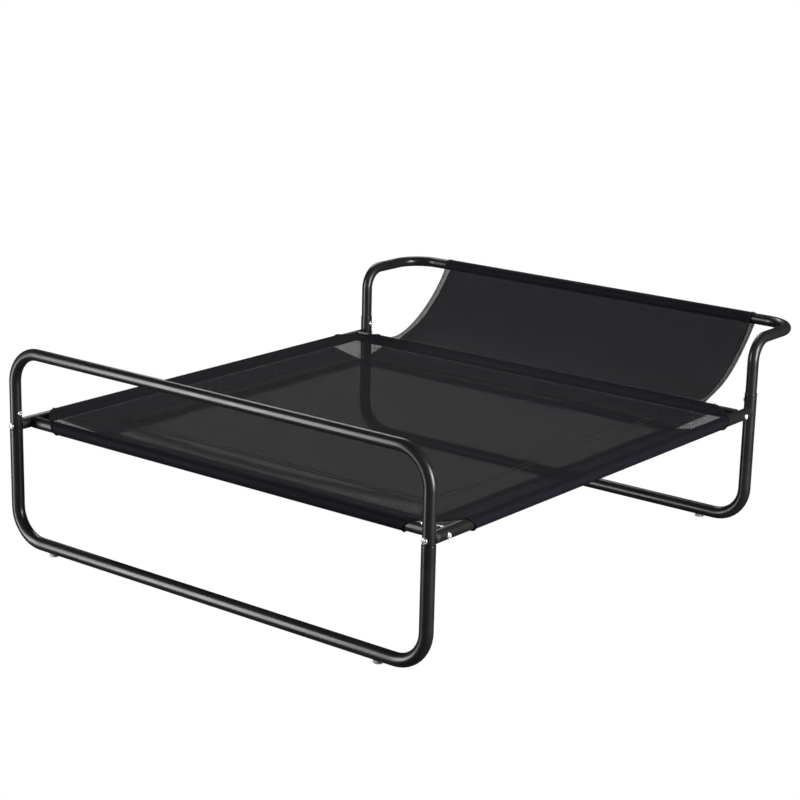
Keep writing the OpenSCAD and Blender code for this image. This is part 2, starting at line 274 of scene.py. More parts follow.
def tube_grid(line, radius, bore):
    """A tube along a line with both ends rolled over a small lip and run back down the bore.

    At each end the rings follow a lip: full radius, a rounded edge, then the bore radius going inside.
    """
    heading = line_heading(line)
    turn = np.radians([0, 30, 60, 90])
    back = np.concatenate([[2 * MM], LIP * (1 - np.sin(turn)), [0, LIP, 8 * MM]])
    size = np.concatenate([[radius], radius - LIP * (1 - np.cos(turn)), [bore + LIP, bore, bore]])
    first = line[0] + heading[0] * back[::-1, None]
    last = line[-1] - heading[-1] * back[:, None]
    whole = np.concatenate([first, line[1:-1], last])
    directions = np.concatenate([np.repeat(heading[:1], len(back), 0), heading[1:-1],
                                 np.repeat(heading[-1:], len(back), 0)])
    radii = np.concatenate([size[::-1], np.full(len(line) - 2, radius), size])
    return ring_grid(whole, directions, radii)


# ---- node helpers for materials ----

def new_material(name):
    """A material with an empty Principled shader; returns the material, its tree and the shader."""
    material = bpy.data.materials.new(name)
    material.use_nodes = True
    tree = material.node_tree
    shader = tree.nodes["Principled BSDF"]
    return material, tree, shader


def add_node(tree, kind, **values):
    """A node with its options set and its inputs filled; an input is given as in_ and its name."""
    node = tree.nodes.new(kind)
    for key, value in values.items():
        if key.startswith("in_"):
            node.inputs[key[3:].replace("_", " ")].default_value = value
        else:
            setattr(node, key, value)
    return node


def math_node(tree, operation, first, second=None, third=None):
    """The result of a Math node whose inputs are numbers or other sockets."""
    node = tree.nodes.new("ShaderNodeMath")
    node.operation = operation
    for socket, value in zip(node.inputs, (first, second, third)):
        if value is None:
            continue
        if isinstance(value, (int, float)):
            socket.default_value = value
        else:
            tree.links.new(value, socket)
    return node.outputs[0]


def map_range(tree, value, from_low, from_high, to_low=0.0, to_high=1.0, kind="SMOOTHSTEP"):
    """A Map Range node; each limit is a number or a socket."""
    node = tree.nodes.new("ShaderNodeMapRange")
    node.interpolation_type = kind
    limits = (value, from_low, from_high, to_low, to_high)
    for name, given in zip(("Value", "From Min", "From Max", "To Min", "To Max"), limits):
        if isinstance(given, (int, float)):
            node.inputs[name].default_value = given
        else:
            tree.links.new(given, node.inputs[name])
    return node.outputs["Result"]


def new_group(name, inputs, outputs):
    """A shader node group with float or vector sockets; returns the tree, its inputs and its outputs."""
    group = bpy.data.node_groups.new(name, "ShaderNodeTree")
    for label, kind, value in inputs:
        socket = group.interface.new_socket(name=label, in_out="INPUT", socket_type=kind)
        if value is not None:
            socket.default_value = value
    for label, kind in outputs:
        group.interface.new_socket(name=label, in_out="OUTPUT", socket_type=kind)
    entry = group.nodes.new("NodeGroupInput")
    leave = group.nodes.new("NodeGroupOutput")
    return group, entry.outputs, leave.inputs


def place_group(tree, group, links=(), **values):
    """A group node in a material, with sockets linked or set by name."""
    node = tree.nodes.new("ShaderNodeGroup")
    node.node_tree = group
    for label, value in values.items():
        node.inputs[label.replace("_", " ")].default_value = value
    for label, socket in links:
        tree.links.new(socket, node.inputs[label])
    return node


# ---- colours and finishes ----

FABRIC_DARK = (0.004, 0.0038, 0.0062)
FABRIC_PALE = (0.0165, 0.0158, 0.0214)
# edge tape colours: the binding's own near-black, also standing as painted shade in the corner notches and
# sleeve mouths
TAPE_AND_SHADE_DARK = (0.004, 0.004, 0.005)
TAPE_AND_SHADE_PALE = (0.012, 0.012, 0.015)
THREAD_DARK = (0.003, 0.003, 0.004)
THREAD_PALE = (0.012, 0.012, 0.013)
PAINT_DARK = (0.012, 0.012, 0.011)
PAINT_PALE = (0.022, 0.022, 0.020)
PAINT_ROUGH = 0.31
PAINT_METAL = 0.25
ZINC_PALE = (0.80, 0.80, 0.80)
STEEL_PALE = (0.42, 0.42, 0.43)
PLASTIC_DARK = (0.008, 0.008, 0.008)
PLASTIC_PALE = (0.016, 0.016, 0.016)
MILKY_DARK = (0.72, 0.74, 0.72)
MILKY_PALE = (0.86, 0.88, 0.86)
HOLE_ALPHA = 0.15
THREAD_ALPHA = 0.985

FLOAT = "NodeSocketFloat"
VECTOR = "NodeSocketVector"


def weave_group():
    """Plain open weave. Distance from the nearest thread crossing gives the holes and the thread height.

    Inputs: Vector in metres, Pitch (thread spacing), Openness (hole width as a share of the pitch).
    Outputs: Cover (1 on thread, 0 in a hole), Height, and Shade (slow change and fine flecks).
    """
    group, given, out = new_group(
        "open_weave",
        [("Vector", VECTOR, None), ("Pitch", FLOAT, 0.0013), ("Openness", FLOAT, 0.34)],
        [("Cover", FLOAT), ("Height", FLOAT), ("Shade", FLOAT)])
    split = group.nodes.new("ShaderNodeSeparateXYZ")
    group.links.new(given["Vector"], split.inputs[0])
    half_hole = math_node(group, "MULTIPLY", given["Openness"], 0.5)
    covers, bumps, rows = [], [], []
    for axis in ("X", "Y"):
        steps = math_node(group, "DIVIDE", split.outputs[axis], given["Pitch"])
        place = math_node(group, "SUBTRACT", math_node(group, "FRACT", steps), 0.5)
        off = math_node(group, "ABSOLUTE", place)
        low = math_node(group, "SUBTRACT", half_hole, 0.06)
        high = math_node(group, "ADD", half_hole, 0.06)
        covers.append(map_range(group, off, low, high))
        bumps.append(map_range(group, off, half_hole, 0.5))
        rows.append(math_node(group, "FLOOR", steps))
    cover = math_node(group, "MAXIMUM", covers[0], covers[1])
    parity = math_node(group, "PINGPONG", math_node(group, "ADD", rows[0], rows[1]), 1.0)
    half_parity = math_node(group, "MULTIPLY", parity, 0.5)
    over = math_node(group, "MULTIPLY", bumps[0], math_node(group, "ADD", half_parity, 0.5))
    under = math_node(group, "MULTIPLY", bumps[1], math_node(group, "SUBTRACT", 1.0, half_parity))
    group.links.new(cover, out["Cover"])
    group.links.new(math_node(group, "MAXIMUM", over, under), out["Height"])
    slow = add_node(group, "ShaderNodeTexNoise", in_Scale=9.0, in_Detail=3.0, in_Roughness=0.6)
    group.links.new(given["Vector"], slow.inputs["Vector"])
    fleck = add_node(group, "ShaderNodeTexNoise", in_Scale=300.0, in_Detail=2.0, in_Roughness=0.7)
    group.links.new(given["Vector"], fleck.inputs["Vector"])
    sharp = map_range(group, fleck.outputs[0], 0.36, 0.64, kind="LINEAR")
    total = math_node(group, "ADD", math_node(group, "MULTIPLY", slow.outputs[0], 0.2),
                      math_node(group, "MULTIPLY", sharp, 0.8))
    group.links.new(total, out["Shade"])
    return group


def grain_group():
    """Fine orange-peel grain of a sprayed coat: two noises at given scales, as Height and Mottle."""
    group, given, out = new_group(
        "coat_grain", [("Vector", VECTOR, None), ("Fine", FLOAT, 900.0), ("Broad", FLOAT, 14.0)],
        [("Height", FLOAT), ("Mottle", FLOAT)])
    fine = add_node(group, "ShaderNodeTexNoise", in_Detail=2.0)
    broad = add_node(group, "ShaderNodeTexNoise", in_Detail=4.0)
    for node, scale in ((fine, "Fine"), (broad, "Broad")):
        group.links.new(given["Vector"], node.inputs["Vector"])
        group.links.new(given[scale], node.inputs["Scale"])
    group.links.new(fine.outputs[0], out["Height"])
    group.links.new(broad.outputs[0], out["Mottle"])
    return group


WEAVE = weave_group()
GRAIN = grain_group()


def blend_colours(tree, factor, first, second):
    """The colour between two, by a socket from 0 to 1."""
    node = tree.nodes.new("ShaderNodeMix")
    node.data_type = "RGBA"
    tree.links.new(factor, node.inputs["Factor"])
    node.inputs["A"].default_value = (*first, 1)
    node.inputs["B"].default_value = (*second, 1)
    return node.outputs["Result"]


def add_bump(tree, shader, height, distance, strength):
    """A Bump node from a height socket to the shader's normal."""
    bump = add_node(tree, "ShaderNodeBump", in_Distance=distance, in_Strength=strength)
    tree.links.new(height, bump.inputs["Height"])
    tree.links.new(bump.outputs[0], shader.inputs["Normal"])


def mesh_fabric():
    """Woven black mesh that lets some light through; "openness" on the cloth sets the hole size."""
    material, tree, shader = new_material("black_mesh_fabric")
    uv = add_node(tree, "ShaderNodeUVMap", uv_map="UVMap")
    open_share = add_node(tree, "ShaderNodeAttribute", attribute_name="openness")
    links = [("Vector", uv.outputs[0]), ("Openness", open_share.outputs["Fac"])]
    weave = place_group(tree, WEAVE, links, Pitch=1.1 * MM)
    tree.links.new(blend_colours(tree, weave.outputs["Shade"], FABRIC_DARK, FABRIC_PALE),
                   shader.inputs["Base Color"])
    solid = map_range(tree, weave.outputs["Cover"], 0.0, 1.0, HOLE_ALPHA, THREAD_ALPHA, "LINEAR")
    tree.links.new(solid, shader.inputs["Alpha"])
    shader.inputs["Roughness"].default_value = 0.62
    shader.inputs["Specular IOR Level"].default_value = 0.04
    add_bump(tree, shader, weave.outputs["Height"], 0.25 * MM, 0.5)
    return material


def webbing_and_painted_shade():
    """The folded edge tape of the covers: the same yarn, woven close. Its near-black, nearly opaque weave
    also stands as painted shade for the dark hollows at the cut corners and sleeve mouths.
    """
    material, tree, shader = new_material("black_edge_tape_and_painted_shade")
    uv = add_node(tree, "ShaderNodeUVMap", uv_map="UVMap")
    weave = place_group(tree, WEAVE, [("Vector", uv.outputs[0])], Pitch=0.9 * MM, Openness=0.05)
    yarn = blend_colours(tree, weave.outputs["Shade"], TAPE_AND_SHADE_DARK, TAPE_AND_SHADE_PALE)
    tree.links.new(yarn, shader.inputs["Base Color"])
    shader.inputs["Roughness"].default_value = 0.7
    shader.inputs["Specular IOR Level"].default_value = 0.08
    add_bump(tree, shader, weave.outputs["Height"], 0.3 * MM, 0.6)
    return material


def sewing_thread():
    """Twisted black polyester thread: a slanted wave across it for the twist."""
    material, tree, shader = new_material("black_thread")
    uv = add_node(tree, "ShaderNodeUVMap", uv_map="UVMap")
    twist = add_node(tree, "ShaderNodeTexWave", in_Scale=900.0, in_Distortion=0.5,
                     bands_direction="DIAGONAL")
    tree.links.new(uv.outputs[0], twist.inputs["Vector"])
    strand = blend_colours(tree, twist.outputs["Fac"], THREAD_DARK, THREAD_PALE)
    tree.links.new(strand, shader.inputs["Base Color"])
    shader.inputs["Roughness"].default_value = 0.55
    add_bump(tree, shader, twist.outputs["Fac"], 0.1 * MM, 0.5)
    return material


def tube_paint():
    """Satin black sprayed steel, very slightly warm, with fine grain and a soft mottle in its gloss."""
    material, tree, shader = new_material("satin_black_paint")
    where = add_node(tree, "ShaderNodeTexCoord")
    grain = place_group(tree, GRAIN, [("Vector", where.outputs["Object"])], Fine=1100.0, Broad=18.0)
    tree.links.new(blend_colours(tree, grain.outputs["Mottle"], PAINT_DARK, PAINT_PALE),
                   shader.inputs["Base Color"])
    gloss = map_range(tree, grain.outputs["Mottle"], 0.3, 0.7, PAINT_ROUGH - 0.03, PAINT_ROUGH + 0.03)
    tree.links.new(gloss, shader.inputs["Roughness"])
    shader.inputs["Metallic"].default_value = PAINT_METAL
    shader.inputs["Specular IOR Level"].default_value = 0.5
    add_bump(tree, shader, grain.outputs["Height"], 0.02 * MM, 0.12)
    return material


def plated_steel(name, pale, rough):
    """Zinc plated steel with a fine brushed unevenness."""
    material, tree, shader = new_material(name)
    where = add_node(tree, "ShaderNodeTexCoord")
    grain = place_group(tree, GRAIN, [("Vector", where.outputs["Object"])], Fine=1800.0, Broad=160.0)
    dark = tuple(0.8 * c for c in pale)
    tree.links.new(blend_colours(tree, grain.outputs["Mottle"], dark, pale), shader.inputs["Base Color"])
    tree.links.new(map_range(tree, grain.outputs["Mottle"], 0.3, 0.7, rough - 0.05, rough + 0.08),
                   shader.inputs["Roughness"])
    shader.inputs["Metallic"].default_value = 0.85
    add_bump(tree, shader, grain.outputs["Height"], 0.02 * MM, 0.4)
    return material


def moulded_plastic(name, dark, pale, rough, clear=0.0):
    """Moulded plastic with a light matt texture; clear lets part of the light through."""
    material, tree, shader = new_material(name)
    where = add_node(tree, "ShaderNodeTexCoord")
    grain = place_group(tree, GRAIN, [("Vector", where.outputs["Object"])], Fine=1400.0, Broad=60.0)
    tree.links.new(blend_colours(tree, grain.outputs["Mottle"], dark, pale), shader.inputs["Base Color"])
    tree.links.new(map_range(tree, grain.outputs["Mottle"], 0.3, 0.7, rough - 0.06, rough + 0.06),
                   shader.inputs["Roughness"])
    shader.inputs["Transmission Weight"].default_value = clear
    add_bump(tree, shader, grain.outputs["Height"], 0.03 * MM, 0.5)
    return material


FABRIC = mesh_fabric()
TAPE_AND_SHADE = webbing_and_painted_shade()
THREAD = sewing_thread()
PAINT = tube_paint()
ZINC = plated_steel("zinc_screws", ZINC_PALE, 0.30)
PLUG_STEEL = plated_steel("plug_steel", STEEL_PALE, 0.38)
BLACK_PLASTIC = moulded_plastic("black_plastic", PLASTIC_DARK, PLASTIC_PALE, 0.5)
CLEAR_PLASTIC = moulded_plastic("clear_plastic", MILKY_DARK, MILKY_PALE, 0.28, 0.55)


def hole_share(passes):
    """Hole width over thread spacing for a cloth that lets the given share of light through.

    A share of 1 - THREAD_ALPHA passes the threads and 1 - HOLE_ALPHA passes the holes, and the holes
    cover the square of their width over the spacing.
    """
    through_thread = 1 - THREAD_ALPHA
    through_hole = 1 - HOLE_ALPHA
    return float(np.sqrt(max(passes - through_thread, 0.0) / (through_hole - through_thread)))


SEAT_OPEN = hole_share(0.126)
BOTTOM_OPEN = hole_share(0.166)
FLAP_OPEN = hole_share(0.30)
HEM_OPEN = hole_share(0.47)
PANEL_FRONT_OPEN = hole_share(0.148)
PANEL_REAR_OPEN = hole_share(0.084)


# ---- steel frame ----

def lower_loop_line(y, top):
    """Up-turned U of a lower loop, from one open end down, across and up."""
    return bent_line([(-SIDE_X, y, top), (-SIDE_X, y, BASE_Z), (SIDE_X, y, BASE_Z), (SIDE_X, y, top)],
                     [CORNER_BEND, CORNER_BEND])


def frame_tubes():
    """The four bent tubes and four rails as smooth tubes, each in place of its CAD node."""
    inner = REAR_SEAM - JOINT_OVERLAP
    front_hoop_line = bent_line([(-SIDE_X, FRONT_Y, FRONT_SEAM), (-SIDE_X, FRONT_Y, HOOP_Z),
                                 (SIDE_X, FRONT_Y, HOOP_Z), (SIDE_X, FRONT_Y, FRONT_SEAM)],
                                [CORNER_BEND, CORNER_BEND])
    rear_hoop_line = bent_line([(-SIDE_X, REAR_Y, inner), (-SIDE_X, REAR_Y, HOOP_Z),
                                (-SIDE_X, TOP_Y, HOOP_Z), (SIDE_X, TOP_Y, HOOP_Z),
                                (SIDE_X, REAR_Y, HOOP_Z), (SIDE_X, REAR_Y, inner)],
                               [LEG_BEND, CORNER_BEND, CORNER_BEND, LEG_BEND])
    spigot = HOOP_R - 2 * LOOP_WALL
    parts = [
        ("front_lower_loop", lower_loop_line(FRONT_Y, FRONT_SEAM - JOINT_GAP), LOWER_R, spigot),
        ("rear_lower_loop", lower_loop_line(REAR_Y, REAR_SEAM), LOWER_R, LOWER_R - LOOP_WALL),
        ("front_hoop", front_hoop_line, HOOP_R, HOOP_R - HOOP_WALL),
        ("rear_hoop", rear_hoop_line, HOOP_R, HOOP_R - HOOP_WALL),
    ]
    for side, name in ((-1, "left_side_rail"), (1, "right_side_rail")):
        ends = [(side * SIDE_X, RAIL_START, RAIL_Z), (side * SIDE_X, RAIL_END, RAIL_Z)]
        parts.append((name, np.array(ends, float), RAIL_R, RAIL_R - HOOP_WALL))
    for y, name in ((FRONT_CROSS_Y, "front_cross_rail"), (REAR_CROSS_Y, "rear_cross_rail")):
        reach = SIDE_X - RAIL_R + COPE
        ends = [(-reach, y, RAIL_Z), (reach, y, RAIL_Z)]
        parts.append((name, np.array(ends, float), RAIL_R, RAIL_R - HOOP_WALL))
    for name, line, radius, bore in parts:
        piece = make_piece(name + "_tube", [tube_grid(line, radius, bore)], PAINT)
        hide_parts(name)


def screw_grid(seat, axis, size=1.0, sides=40):
    """A domed head with a cross recess, as rings of growing radius, at a share of the full head's size.

    Height = dome curve, less the recess depth where a point lies within either arm of the cross;
    the last ring turns down to the seat.
    """
    axis = unit(np.array(axis, float))
    across = unit(np.cross(axis, [0.3, 0.5, 0.81]))
    over = np.cross(axis, across)
    share = np.concatenate([np.linspace(0.0, 0.62, 16), [0.7, 0.8, 0.88, 0.94, 0.98, 1.0, 1.0]])
    radius = size * HEAD_R * share
    height = size * HEAD_H * (0.45 + 0.55 * np.sqrt(np.clip(1 - share ** 2.4, 0, 1)))
    height[-2:] = (size * HEAD_H * 0.30, 0)
    angle = np.linspace(0, 2 * np.pi, sides, endpoint=False)
    a = radius[:, None] * np.cos(angle)
    b = radius[:, None] * np.sin(angle)
    arm = np.minimum(np.abs(a), np.abs(b))
    in_arm = 1 - ease((arm - SLOT_HALF) / (SLOT_HALF / 2))
    in_reach = 1 - ease((radius[:, None] - SLOT_REACH) / SLOT_HALF)
    lift = height[:, None] - SLOT_DEPTH * in_arm * in_reach
    where = np.array(seat, float) + a[..., None] * across + b[..., None] * over + lift[..., None] * axis
    uv = np.stack([a, b], -1)
    return where[::-1], uv[::-1], True


def screws():
    """Screw heads at the posts, the joints and the rail ends, each set in place of its CAD node."""
    post, lock, bolt = [], [], []
    for side in (-1, 1):
        post.append(screw_grid((side * SIDE_X, FRONT_Y - HOOP_R, RAIL_Z), (0, -1, 0)))
        post.append(screw_grid((side * SIDE_X, REAR_Y + LOWER_R, RAIL_Z), (0, 1, 0)))
        lock.append(screw_grid((side * (SIDE_X - HOOP_R), FRONT_Y, LOCK_Z), (-side, 0, 0), LOCK_HEAD))
        lock.append(screw_grid((side * (SIDE_X - LOWER_R), REAR_Y, LOCK_Z), (-side, 0, 0), LOCK_HEAD))
        for y in (FRONT_CROSS_Y, REAR_CROSS_Y):
            bolt.append(screw_grid((side * (SIDE_X + RAIL_R), y, RAIL_Z), (side, 0, 0)))
    for name, grids in (("post_screws", post), ("lock_screws", lock), ("rail_bolts", bolt)):
        piece = make_piece(name + "_heads", grids, ZINC)
        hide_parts(name)


def carried_over():
    """CAD pieces whose shape is right keep it and take a better finish."""
    finishes = {"side_rail_plugs": PLUG_STEEL, "cross_rail_plugs": PLUG_STEEL,
                "front_saddles": BLACK_PLASTIC, "rear_saddles": BLACK_PLASTIC,
                "front_foot_glides": CLEAR_PLASTIC, "rear_foot_glides": CLEAR_PLASTIC}
    for name, material in finishes.items():
        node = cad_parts[name]
        node.data.materials.clear()
        node.data.materials.append(material)


# ---- mesh covers ----

def spaced(stops, step):
    """Positions that hit every stop, evenly spaced between stops at about the given step."""
    parts = [np.linspace(a, b, max(2, int(np.ceil((b - a) / step)) + 1))[:-1]
             for a, b in zip(stops[:-1], stops[1:])]
    return np.concatenate(parts + [[stops[-1]]])


def seat_height(x, y):
    """Height of the top cover: level inside the stitched rectangle, rising evenly to the rails.

    The rise is the larger of the two slopes, blended near their mitre, less a faint sag in the middle.
    """
    top = RAIL_Z + WRAP_R
    level = RAIL_Z - SEAT_DROP
    slope_x = np.clip((np.abs(x) - SIDE_X + STITCH_INSET) / STITCH_INSET, 0, 1)
    slope_y = np.clip((np.abs(y) - CROSS_Y + STITCH_INSET) / STITCH_INSET, 0, 1)
    rise = (slope_x ** 8 + slope_y ** 8 + 1e-9) ** (1 / 8)
    sag = (1 - (x / SIDE_X) ** 2) * (1 - (y / CROSS_Y) ** 2)
    return mix(level, top, np.clip(rise, 0, 1)) - SEAT_SAG * sag


def around_rail(turn):
    """Offset out and up from the rail's axis after turning by an angle from the top outward."""
    return WRAP_R * np.sin(turn), WRAP_R * np.cos(turn)


def mouth_slant(turns):
    """How far a sleeve's mouth steps back from the corner as the sleeve turns round its rail."""
    return MOUTH_SLANT * ease(turns / (0.75 * np.pi))


def side_wrap(side, along, turns):
    """The half turn over a side rail: x = side * (axis + out), z = axis + up, y along the rail.

    Each strip along the rail is scaled about its middle so that both mouths slant.
    """
    out, up = around_rail(turns)
    y, o = np.meshgrid(along, out, indexing="ij")
    y = y * (1 - mouth_slant(turns) / along.max())
    u = np.broadcast_to(up, y.shape)
    where = np.stack([side * (SIDE_X + o), MID_Y + y, RAIL_Z + u], -1)
    uv = np.stack([side * (SIDE_X + np.broadcast_to(turns * WRAP_R, y.shape)), y], -1)
    return facing(where, uv, side > 0)


def end_wrap(side, along, turns):
    """The half turn over a cross rail, as side_wrap with x and y exchanged."""
    out, up = around_rail(turns)
    x, o = np.meshgrid(along, out, indexing="ij")
    x = x * (1 - mouth_slant(turns) / along.max())
    u = np.broadcast_to(up, x.shape)
    where = np.stack([x, MID_Y + side * (CROSS_Y + o), RAIL_Z + u], -1)
    uv = np.stack([x, side * (CROSS_Y + np.broadcast_to(turns * WRAP_R, x.shape))], -1)
    return facing(where, uv, side < 0)


def bias(grid, angle):
    """The same grid with its map coordinates turned, so that the threads of stacked layers cross."""
    where, uv, closed = grid
    c, s = np.cos(radians(angle)), np.sin(radians(angle))
    return where, np.stack([c * uv[..., 0] - s * uv[..., 1], s * uv[..., 0] + c * uv[..., 1]], -1), closed


def facing(where, uv, flip, closed=False):
    """A grid turned over if asked, so that its faces point outward."""
    if flip:
        where, uv = where[::-1], uv[::-1]
    return where, uv, closed


def flap_grid(side, ends, across, drop=0.0, along_y=True, inner=FLAP_INSET, shares=None):
    """A flap under the seat, from the bottom of the rail inward and down to its free edge.

    ends gives the half length at the rail and at the free edge; between them it shrinks evenly.
    """
    shares = np.linspace(0, 1, 12) if shares is None else shares
    half = mix(ends[0], ends[1], shares)
    n = np.linspace(-1, 1, across)
    s, k = np.meshgrid(shares, n, indexing="ij")
    along = half[:, None] * k
    axis = SIDE_X if along_y else CROSS_Y
    inward = axis - s * inner
    z = mix(RAIL_Z - WRAP_R, RAIL_Z - FLAP_DROP, s) - drop
    edge = axis + np.pi * WRAP_R + s * inner
    if along_y:
        where = np.stack([side * inward, MID_Y + along, z], -1)
        uv = np.stack([side * edge, along], -1)
        return facing(where, uv, side < 0)
    where = np.stack([along, MID_Y + side * inward, z], -1)
    uv = np.stack([along, side * edge], -1)
    return facing(where, uv, side > 0)


SIDE_ENDS = (CROSS_Y - CORNER_CUT - MOUTH_SLANT, CROSS_Y - CORNER_CUT - SIDE_FLAP_TAPER)
END_ENDS = (SIDE_X - CORNER_CUT - MOUTH_SLANT, SIDE_X - CORNER_CUT - END_FLAP_TAPER)


def seat_cover():
    """Top cover and its half turns round the four rails, as one sheet of open mesh.

    The top is a grid of rows across the bed, each as wide as the seat is there, at the seat's height.
    """
    y = spaced([-CROSS_Y, -CROSS_Y + CORNER_CUT, -CROSS_Y + STITCH_INSET, CROSS_Y - STITCH_INSET,
                CROSS_Y - CORNER_CUT, CROSS_Y], 7 * MM)
    share = spaced([-1, -1 + STITCH_INSET / SIDE_X, 1 - STITCH_INSET / SIDE_X, 1], 8 * MM / SIDE_X)
    past = np.clip((np.abs(y) - CROSS_Y + CORNER_CUT) / CORNER_CUT, 0, 1)
    reach = SIDE_X - CORNER_CUT * past + 2 * CORNER_BOW * np.sin(np.pi * past)
    yy = np.broadcast_to(y[:, None], (len(y), len(share)))
    xx = reach[:, None] * share[None, :]
    top = np.stack([xx, MID_Y + yy, seat_height(xx, yy)], -1)
    grids = [(top, np.stack([xx, yy], -1), False)]
    turns = np.linspace(0, np.pi, 15)
    straight = y[np.abs(y) <= CROSS_Y - CORNER_CUT + 1e-9]
    edge_x = (SIDE_X - CORNER_CUT) * share
    for side in (-1, 1):
        grids.append(side_wrap(side, straight, turns))
        grids.append(end_wrap(side, edge_x, turns))
    holes = [SEAT_OPEN] * len(grids)
    return make_piece("seat_cover", grids, FABRIC, holes, weld=2e-5)


def seat_flaps():
    """The four sleeve flaps, each a grid that narrows toward its free edge under the seat."""
    grids = []
    for side in (-1, 1):
        grids.append(flap_grid(side, SIDE_ENDS, 90))
        grids.append(flap_grid(side, END_ENDS, 90, along_y=False))
    grids = [bias(g, 23) for g in grids]
    return make_piece("sleeve_flaps", grids, FABRIC, [FLAP_OPEN] * 4)


def flap_hems():
    """The turned-up edge of each flap: a second strip of mesh just above it."""
    shares = np.linspace(1 - HEM / FLAP_INSET, 1, 4)
    grids = []
    for side in (-1, 1):
        grids.append(flap_grid(side, SIDE_ENDS, 90, -HEM_GAP, shares=shares))
        grids.append(flap_grid(side, END_ENDS, 90, -HEM_GAP, along_y=False, shares=shares))
    grids = [bias(g, 68) for g in grids]
    return make_piece("flap_hems", grids, FABRIC, [HEM_OPEN] * 4)


def under_sheet():
    """Lower sheet: level between the flap edges, with four wings that rise below the flaps."""
    z = RAIL_Z - FLAP_DROP - SHEET_STEP
    wide, deep = SIDE_X - FLAP_INSET, CROSS_Y - FLAP_INSET
    x = spaced([-wide, wide], 12 * MM)
    y = spaced([-deep, deep], 12 * MM)
    yy, xx = np.meshgrid(y, x, indexing="ij")
    grids = [(np.stack([xx, MID_Y + yy, np.full_like(xx, z)], -1), np.stack([xx, yy], -1), False)]
    for side in (-1, 1):
        grids.append(flap_grid(side, SIDE_ENDS, len(y), SHEET_STEP))
        grids.append(flap_grid(side, END_ENDS, len(x), SHEET_STEP, along_y=False))
    grids = [bias(g, 45) for g in grids]
    return make_piece("under_sheet", grids, FABRIC, [BOTTOM_OPEN] * 5)


def curve_between(start, start_way, end, end_way, holds, count):
    """A cubic curve from start to end, leaving and arriving along the given directions (y, z)."""
    t = np.linspace(0, 1, count)[:, None]
    second = start + holds[0] * start_way
    third = end - holds[1] * end_way
    return ((1 - t) ** 3 * start + 3 * (1 - t) ** 2 * t * second
            + 3 * (1 - t) * t ** 2 * third + t ** 3 * end)


def polar(angle):
    """Unit direction in the (y, z) plane at an angle above +y."""
    return np.array([np.cos(angle), np.sin(angle)])


def panel_section():
    """Section of the back panel in (y, z): front layer up from the rear rail, over the tube, down behind.

    Each layer is a cubic curve tangent to the rail below and to the tube above; the half turn over
    the tube is an arc of the tube's radius plus the cloth.
    """
    rail = np.array([REAR_CROSS_Y, RAIL_Z])
    tube = np.array([TOP_Y, HOOP_Z])
    on_tube = HOOP_R + PANEL_GAP + CLOTH
    on_rail = WRAP_R + PANEL_GAP
    foot, head = radians(-8), radians(76)
    low, high = radians(32), radians(52)
    front = curve_between(rail + on_rail * polar(foot + np.pi / 2), polar(foot),
                          tube + on_tube * polar(head + np.pi / 2), polar(head), (0.068, 0.040), 34)
    turn = np.linspace(head + np.pi / 2, high - np.pi / 2, 22)[:, None]
    over = tube + on_tube * np.concatenate([np.cos(turn), np.sin(turn)], 1)
    rear = curve_between(tube + on_tube * polar(high - np.pi / 2), -polar(high),
                         rail + on_rail * polar(low - np.pi / 2), -polar(low), (0.160, 0.070), 34)
    return front, over, rear


def panel_grid(section, x, offset=0.0, start=0.0):
    """A section in (y, z) carried straight across the bed, pushed outward along its normal by an offset."""
    way = line_heading(section)
    section = section + offset * np.stack([-way[:, 1], way[:, 0]], -1)
    along = start + np.concatenate([[0], np.cumsum(np.linalg.norm(np.diff(section, axis=0), axis=1))])
    s, xx = np.meshgrid(np.arange(len(section)), x, indexing="ij")
    where = np.stack([xx, section[s, 0], section[s, 1]], -1)
    return where, np.stack([xx, along[s]], -1), False


def back_panel():
    """The sling between the rear cross rail and the rear top tube, in two layers."""
    front, over, rear = panel_section()
    x = spaced([-PANEL_HALF, PANEL_HALF], 9 * MM)
    grids = [panel_grid(front, x), panel_grid(over, x, start=OVER_START),
             bias(panel_grid(rear, x, start=REAR_START), 45)]
    holes = [PANEL_FRONT_OPEN, PANEL_FRONT_OPEN, PANEL_REAR_OPEN]
    return make_piece("back_panel_cloth", grids, FABRIC, holes, weld=2e-5)


def panel_side_hems():
    """The turned-in side edges of the panel, a narrow second strip on each layer."""
    front, over, rear = panel_section()
    grids = []
    for side in (-1, 1):
        x = side * np.linspace(PANEL_HALF - SIDE_HEM, PANEL_HALF, 3)
        for section, start in ((front, 0), (over, OVER_START), (rear, REAR_START)):
            grids.append(bias(panel_grid(section, x[::side], 0.5 * MM, start), 23))
    return make_piece("panel_side_hems", grids, FABRIC, [HEM_OPEN] * 6, weld=2e-5)


def tape_grid(line, half_wide, half_thick, lean):
    """A flat folded tape along a line: an oval ring carried along it, drawn in to a point at both ends."""
    heading = line_heading(line)
    size = np.full(len(line), half_wide)
    size[[0, -1]] = 0.02 * MM
    return ring_grid(line, heading, size, 10, half_thick / half_wide, lean)


def corner_tapes_and_shade():
    """A narrow folded tape along each cut corner of the top cover. Its near-black also paints the shade
    that falls into the corner notch.
    """
    grids = []
    for sx in (-1, 1):
        for sy in (-1, 1):
            t = np.linspace(0.0, 1.0, 26)
            bow = CORNER_BOW * np.sin(np.pi * t)
            x = sx * (mix(SIDE_X - CORNER_CUT, SIDE_X, t) + bow)
            y = sy * (mix(CROSS_Y, CROSS_Y - CORNER_CUT, t) + bow)
            z = seat_height(x, y)
            line = np.stack([x, MID_Y + y, z], -1)
            grids.append(tape_grid(line, CORNER_TAPE_AND_SHADE, TAPE_HALF, (0, 0, 1)))
    return make_piece("corner_tapes_and_shade", grids, TAPE_AND_SHADE)


